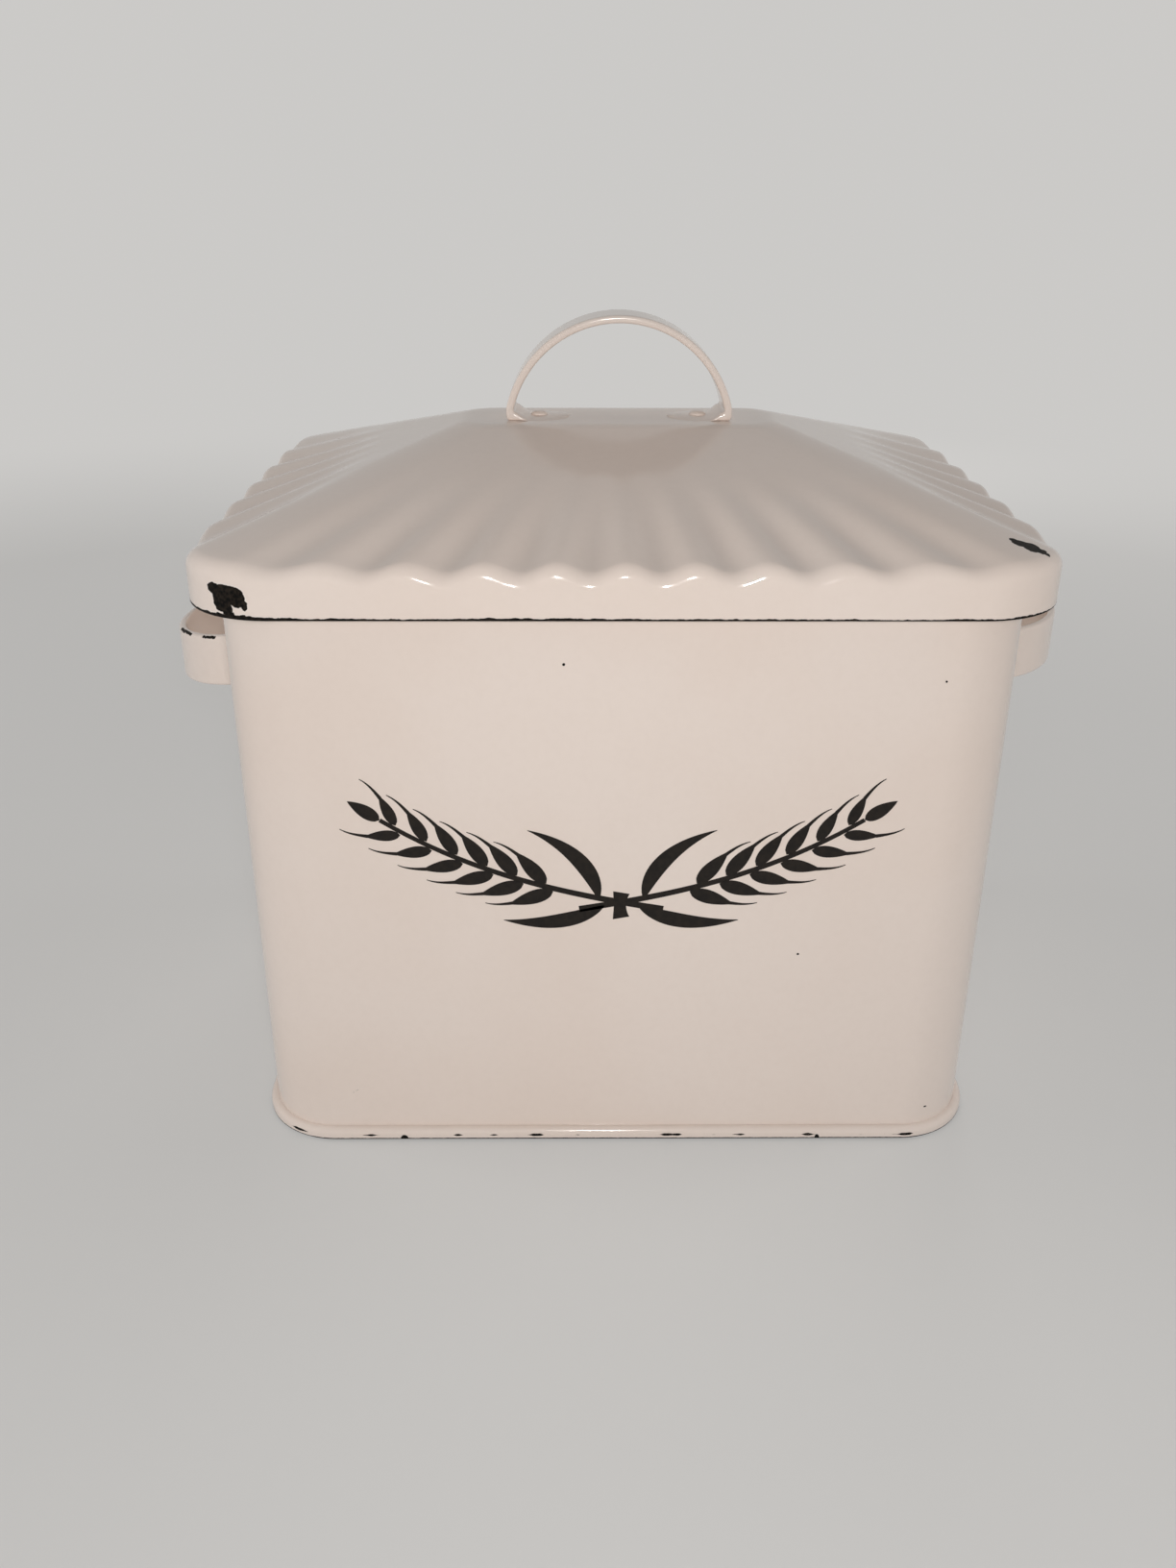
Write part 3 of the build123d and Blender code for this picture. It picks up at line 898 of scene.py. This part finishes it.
def ornament_mesh(material):
    """Two crossed ears of wheat, printed in a very thin layer on the front of the tub."""
    right = ear_shapes()
    left = [[Vector((-point.x, point.y)) for point in reversed(shape)] for shape in right]
    wall_y = -tub_half_y
    vertices, faces = [], []
    for index, shape in enumerate(right + left + tie_shapes()):
        front_y = wall_y - PRINT_THICKNESS - PRINT_LAYER * (index % PRINT_LAYERS)
        count, first = len(shape), len(vertices)
        vertices.extend((point.x, front_y, point.y) for point in shape)
        vertices.extend((point.x, wall_y + SEAM_OVERLAP, point.y) for point in shape)
        faces.append(tuple(range(first, first + count)))
        faces.append(tuple(reversed(range(first + count, first + 2 * count))))
        for step in range(count):
            after = (step + 1) % count
            faces.append((first + step, first + count + step, first + count + after, first + after))
    return finish_piece("wheat_print", vertices, faces, "tub", [], material, crease=20)


# ---------------------------------------------------------------- object

tub_enamel = enamel_material("tub_enamel", tub_marks)
lid_enamel = enamel_material("lid_enamel", lid_marks)
plain_enamel = enamel_material("fittings_enamel", unevenness=0.06)
worn_enamel = enamel_material("worn_strap_enamel", strap_marks, unevenness=0.06)

tub_wall_mesh(tub_enamel)
tub_base_mesh(tub_enamel)
ornament_mesh(ornament_material())
lid_mesh(lid_enamel)
strap_mesh("lid_strap", LID_STRAP_WIDTH, lid_arch_rise, lid_place(0), "lid", "lid_handle", plain_enamel)
for side, name in ((-1, "left"), (1, "right")):
    rivet_mesh(
        f"lid_rivet_{name}_domed",
        LID_SHEET,
        lid_place(side * RIVET_OFFSET),
        "lid",
        f"lid_rivet_{name}",
        plain_enamel,
    )
    strap_mesh(
        f"side_strap_{name}",
        SIDE_STRAP_WIDTH,
        side_arch_rise,
        side_place(side, 0, LEFT_HANDLE_DROOP if side < 0 else 0.0),
        "tub",
        f"side_handle_{name}",
        worn_enamel,
    )
    for end, end_name in ((-1, "front"), (1, "back")):
        rivet_mesh(
            f"side_rivet_{name}_{end_name}_domed",
            TUB_SHEET,
            side_place(side, side * end * RIVET_OFFSET),
            "tub",
            f"side_rivet_{name}_{end_name}",
            plain_enamel,
        )


# ---------------------------------------------------------------- floor, light and camera

# Linear colours; lengths of the floor and places of the lights are in metres
BACKGROUND = (0.60, 0.59, 0.575, 1)
FLOOR_COLOUR = (0.70, 0.71, 0.71, 1)
FLOOR_HALF = 6.0
FLOOR_FADE = (0.35, 1.5)
# Share of the background's colour in the floor near the object
FLOOR_GLOW = 0.45
FILL_COLOUR = (1.0, 0.98, 0.96, 1)
FILL_STRENGTH = 0.17
WARM = (1.0, 0.962, 0.93)
LIGHT_TARGET = (0, 0, 0.12)


def pale_floor():
    """A wide pale matt floor that keeps the shadow and fades into the background's colour."""
    half = FLOOR_HALF
    mesh = bpy.data.meshes.new("floor")
    corners = [(-half, -half, 0), (half, -half, 0), (half, half, 0), (-half, half, 0)]
    mesh.from_pydata(corners, [], [(0, 1, 2, 3)])
    floor = bpy.data.objects.new("floor", mesh)
    bpy.context.scene.collection.objects.link(floor)
    graph = Graph("pale_floor")
    graph.shader.inputs["Base Color"].default_value = FLOOR_COLOUR
    graph.shader.inputs["Roughness"].default_value = 0.85
    graph.shader.inputs["Specular IOR Level"].default_value = 0.15
    far = graph.add("ShaderNodeEmission")
    far.inputs["Color"].default_value = BACKGROUND
    far.inputs["Strength"].default_value = 1.0
    distance = graph.vector("LENGTH", graph.place)
    paths = graph.add("ShaderNodeLightPath")
    seen = graph.math("MAXIMUM", paths.outputs["Is Camera Ray"], paths.outputs["Is Glossy Ray"])
    seen = graph.math("MAXIMUM", seen, paths.outputs["Is Transmission Ray"])
    backdrop = graph.math("MAXIMUM", graph.ramp(distance, *FLOOR_FADE), FLOOR_GLOW)
    mixer = graph.add("ShaderNodeMixShader")
    graph.put(mixer.inputs[0], graph.math("MULTIPLY", backdrop, seen))
    graph.put(mixer.inputs[1], graph.shader.outputs[0])
    graph.put(mixer.inputs[2], far.outputs[0])
    graph.put(graph.output.inputs["Surface"], mixer.outputs[0])
    mesh.materials.append(graph.material)


def soft_world():
    """Even light from all round; the camera, gloss and glass see the background's colour."""
    world = bpy.data.worlds.new("studio")
    bpy.context.scene.world = world
    world.use_nodes = True
    tree = world.node_tree
    fill = tree.nodes["Background"]
    fill.inputs["Color"].default_value = FILL_COLOUR
    fill.inputs["Strength"].default_value = FILL_STRENGTH
    seen = tree.nodes.new("ShaderNodeBackground")
    seen.inputs["Color"].default_value = BACKGROUND
    paths = tree.nodes.new("ShaderNodeLightPath")
    first = tree.nodes.new("ShaderNodeMath")
    first.operation = "MAXIMUM"
    second = tree.nodes.new("ShaderNodeMath")
    second.operation = "MAXIMUM"
    tree.links.new(paths.outputs["Is Camera Ray"], first.inputs[0])
    tree.links.new(paths.outputs["Is Glossy Ray"], first.inputs[1])
    tree.links.new(first.outputs[0], second.inputs[0])
    tree.links.new(paths.outputs["Is Transmission Ray"], second.inputs[1])
    mixer = tree.nodes.new("ShaderNodeMixShader")
    tree.links.new(second.outputs[0], mixer.inputs[0])
    tree.links.new(fill.outputs[0], mixer.inputs[1])
    tree.links.new(seen.outputs[0], mixer.inputs[2])
    tree.links.new(mixer.outputs[0], tree.nodes["World Output"].inputs["Surface"])


def area_light(name, place, target, size, power, colour, mirrored=False):
    """A round lamp that the camera doesn't see, and gloss only where it is mirrored."""
    lamp = bpy.data.lights.new(name, "AREA")
    lamp.shape = "DISK"
    lamp.size = size
    lamp.energy = power
    lamp.color = colour
    holder = bpy.data.objects.new(name, lamp)
    holder.location = place
    holder.rotation_euler = (Vector(target) - Vector(place)).to_track_quat("-Z", "Y").to_euler()
    holder.visible_camera = False
    holder.visible_glossy = mirrored
    bpy.context.scene.collection.objects.link(holder)


pale_floor()
soft_world()
area_light("key_light", (-0.14, -1.15, 0.40), LIGHT_TARGET, 0.45, 3.2, WARM)
area_light("camera_light", (0.00, -0.56, 0.37), LIGHT_TARGET, 0.045, 0.88, WARM, mirrored=True)
area_light("left_light", (-1.45, 0.15, 0.45), LIGHT_TARGET, 0.8, 6.4, WARM)
area_light("right_light", (1.45, 0.25, 0.45), LIGHT_TARGET, 0.8, 5.6, WARM)
area_light("back_light", (0.25, 1.6, 0.50), LIGHT_TARGET, 0.8, 8.5, WARM)

# Camera: place, turn and lens of the photograph's view
CAMERA_PLACE = (-14.8, -519.8, 343.3)
CAMERA_PITCH = math.radians(25.016)
CAMERA_YAW = math.radians(0.396)
CAMERA_ROLL = math.radians(0.142)
CAMERA_LENS = 30.59
SENSOR_HEIGHT = 36.0


def photo_camera():
    lens = bpy.data.cameras.new("photo_camera")
    lens.sensor_fit = "VERTICAL"
    lens.sensor_height = SENSOR_HEIGHT
    lens.lens = CAMERA_LENS
    lens.clip_start = 0.01
    lens.clip_end = 50
    forward = Vector((
        math.sin(CAMERA_YAW) * math.cos(CAMERA_PITCH),
        math.cos(CAMERA_YAW) * math.cos(CAMERA_PITCH),
        -math.sin(CAMERA_PITCH),
    ))
    right = Vector((math.cos(CAMERA_YAW), -math.sin(CAMERA_YAW), 0))
    up = right.cross(forward)
    level_right = right * math.cos(CAMERA_ROLL) + up * math.sin(CAMERA_ROLL)
    level_up = up * math.cos(CAMERA_ROLL) - right * math.sin(CAMERA_ROLL)
    turn = Matrix((level_right, level_up, -forward)).transposed().to_4x4()
    camera = bpy.data.objects.new("photo_camera", lens)
    camera.matrix_world = Matrix.Translation(Vector(CAMERA_PLACE) * MM) @ turn
    bpy.context.scene.collection.objects.link(camera)
    bpy.context.scene.camera = camera


photo_camera()
bpy.context.scene.view_settings.view_transform = "Standard"
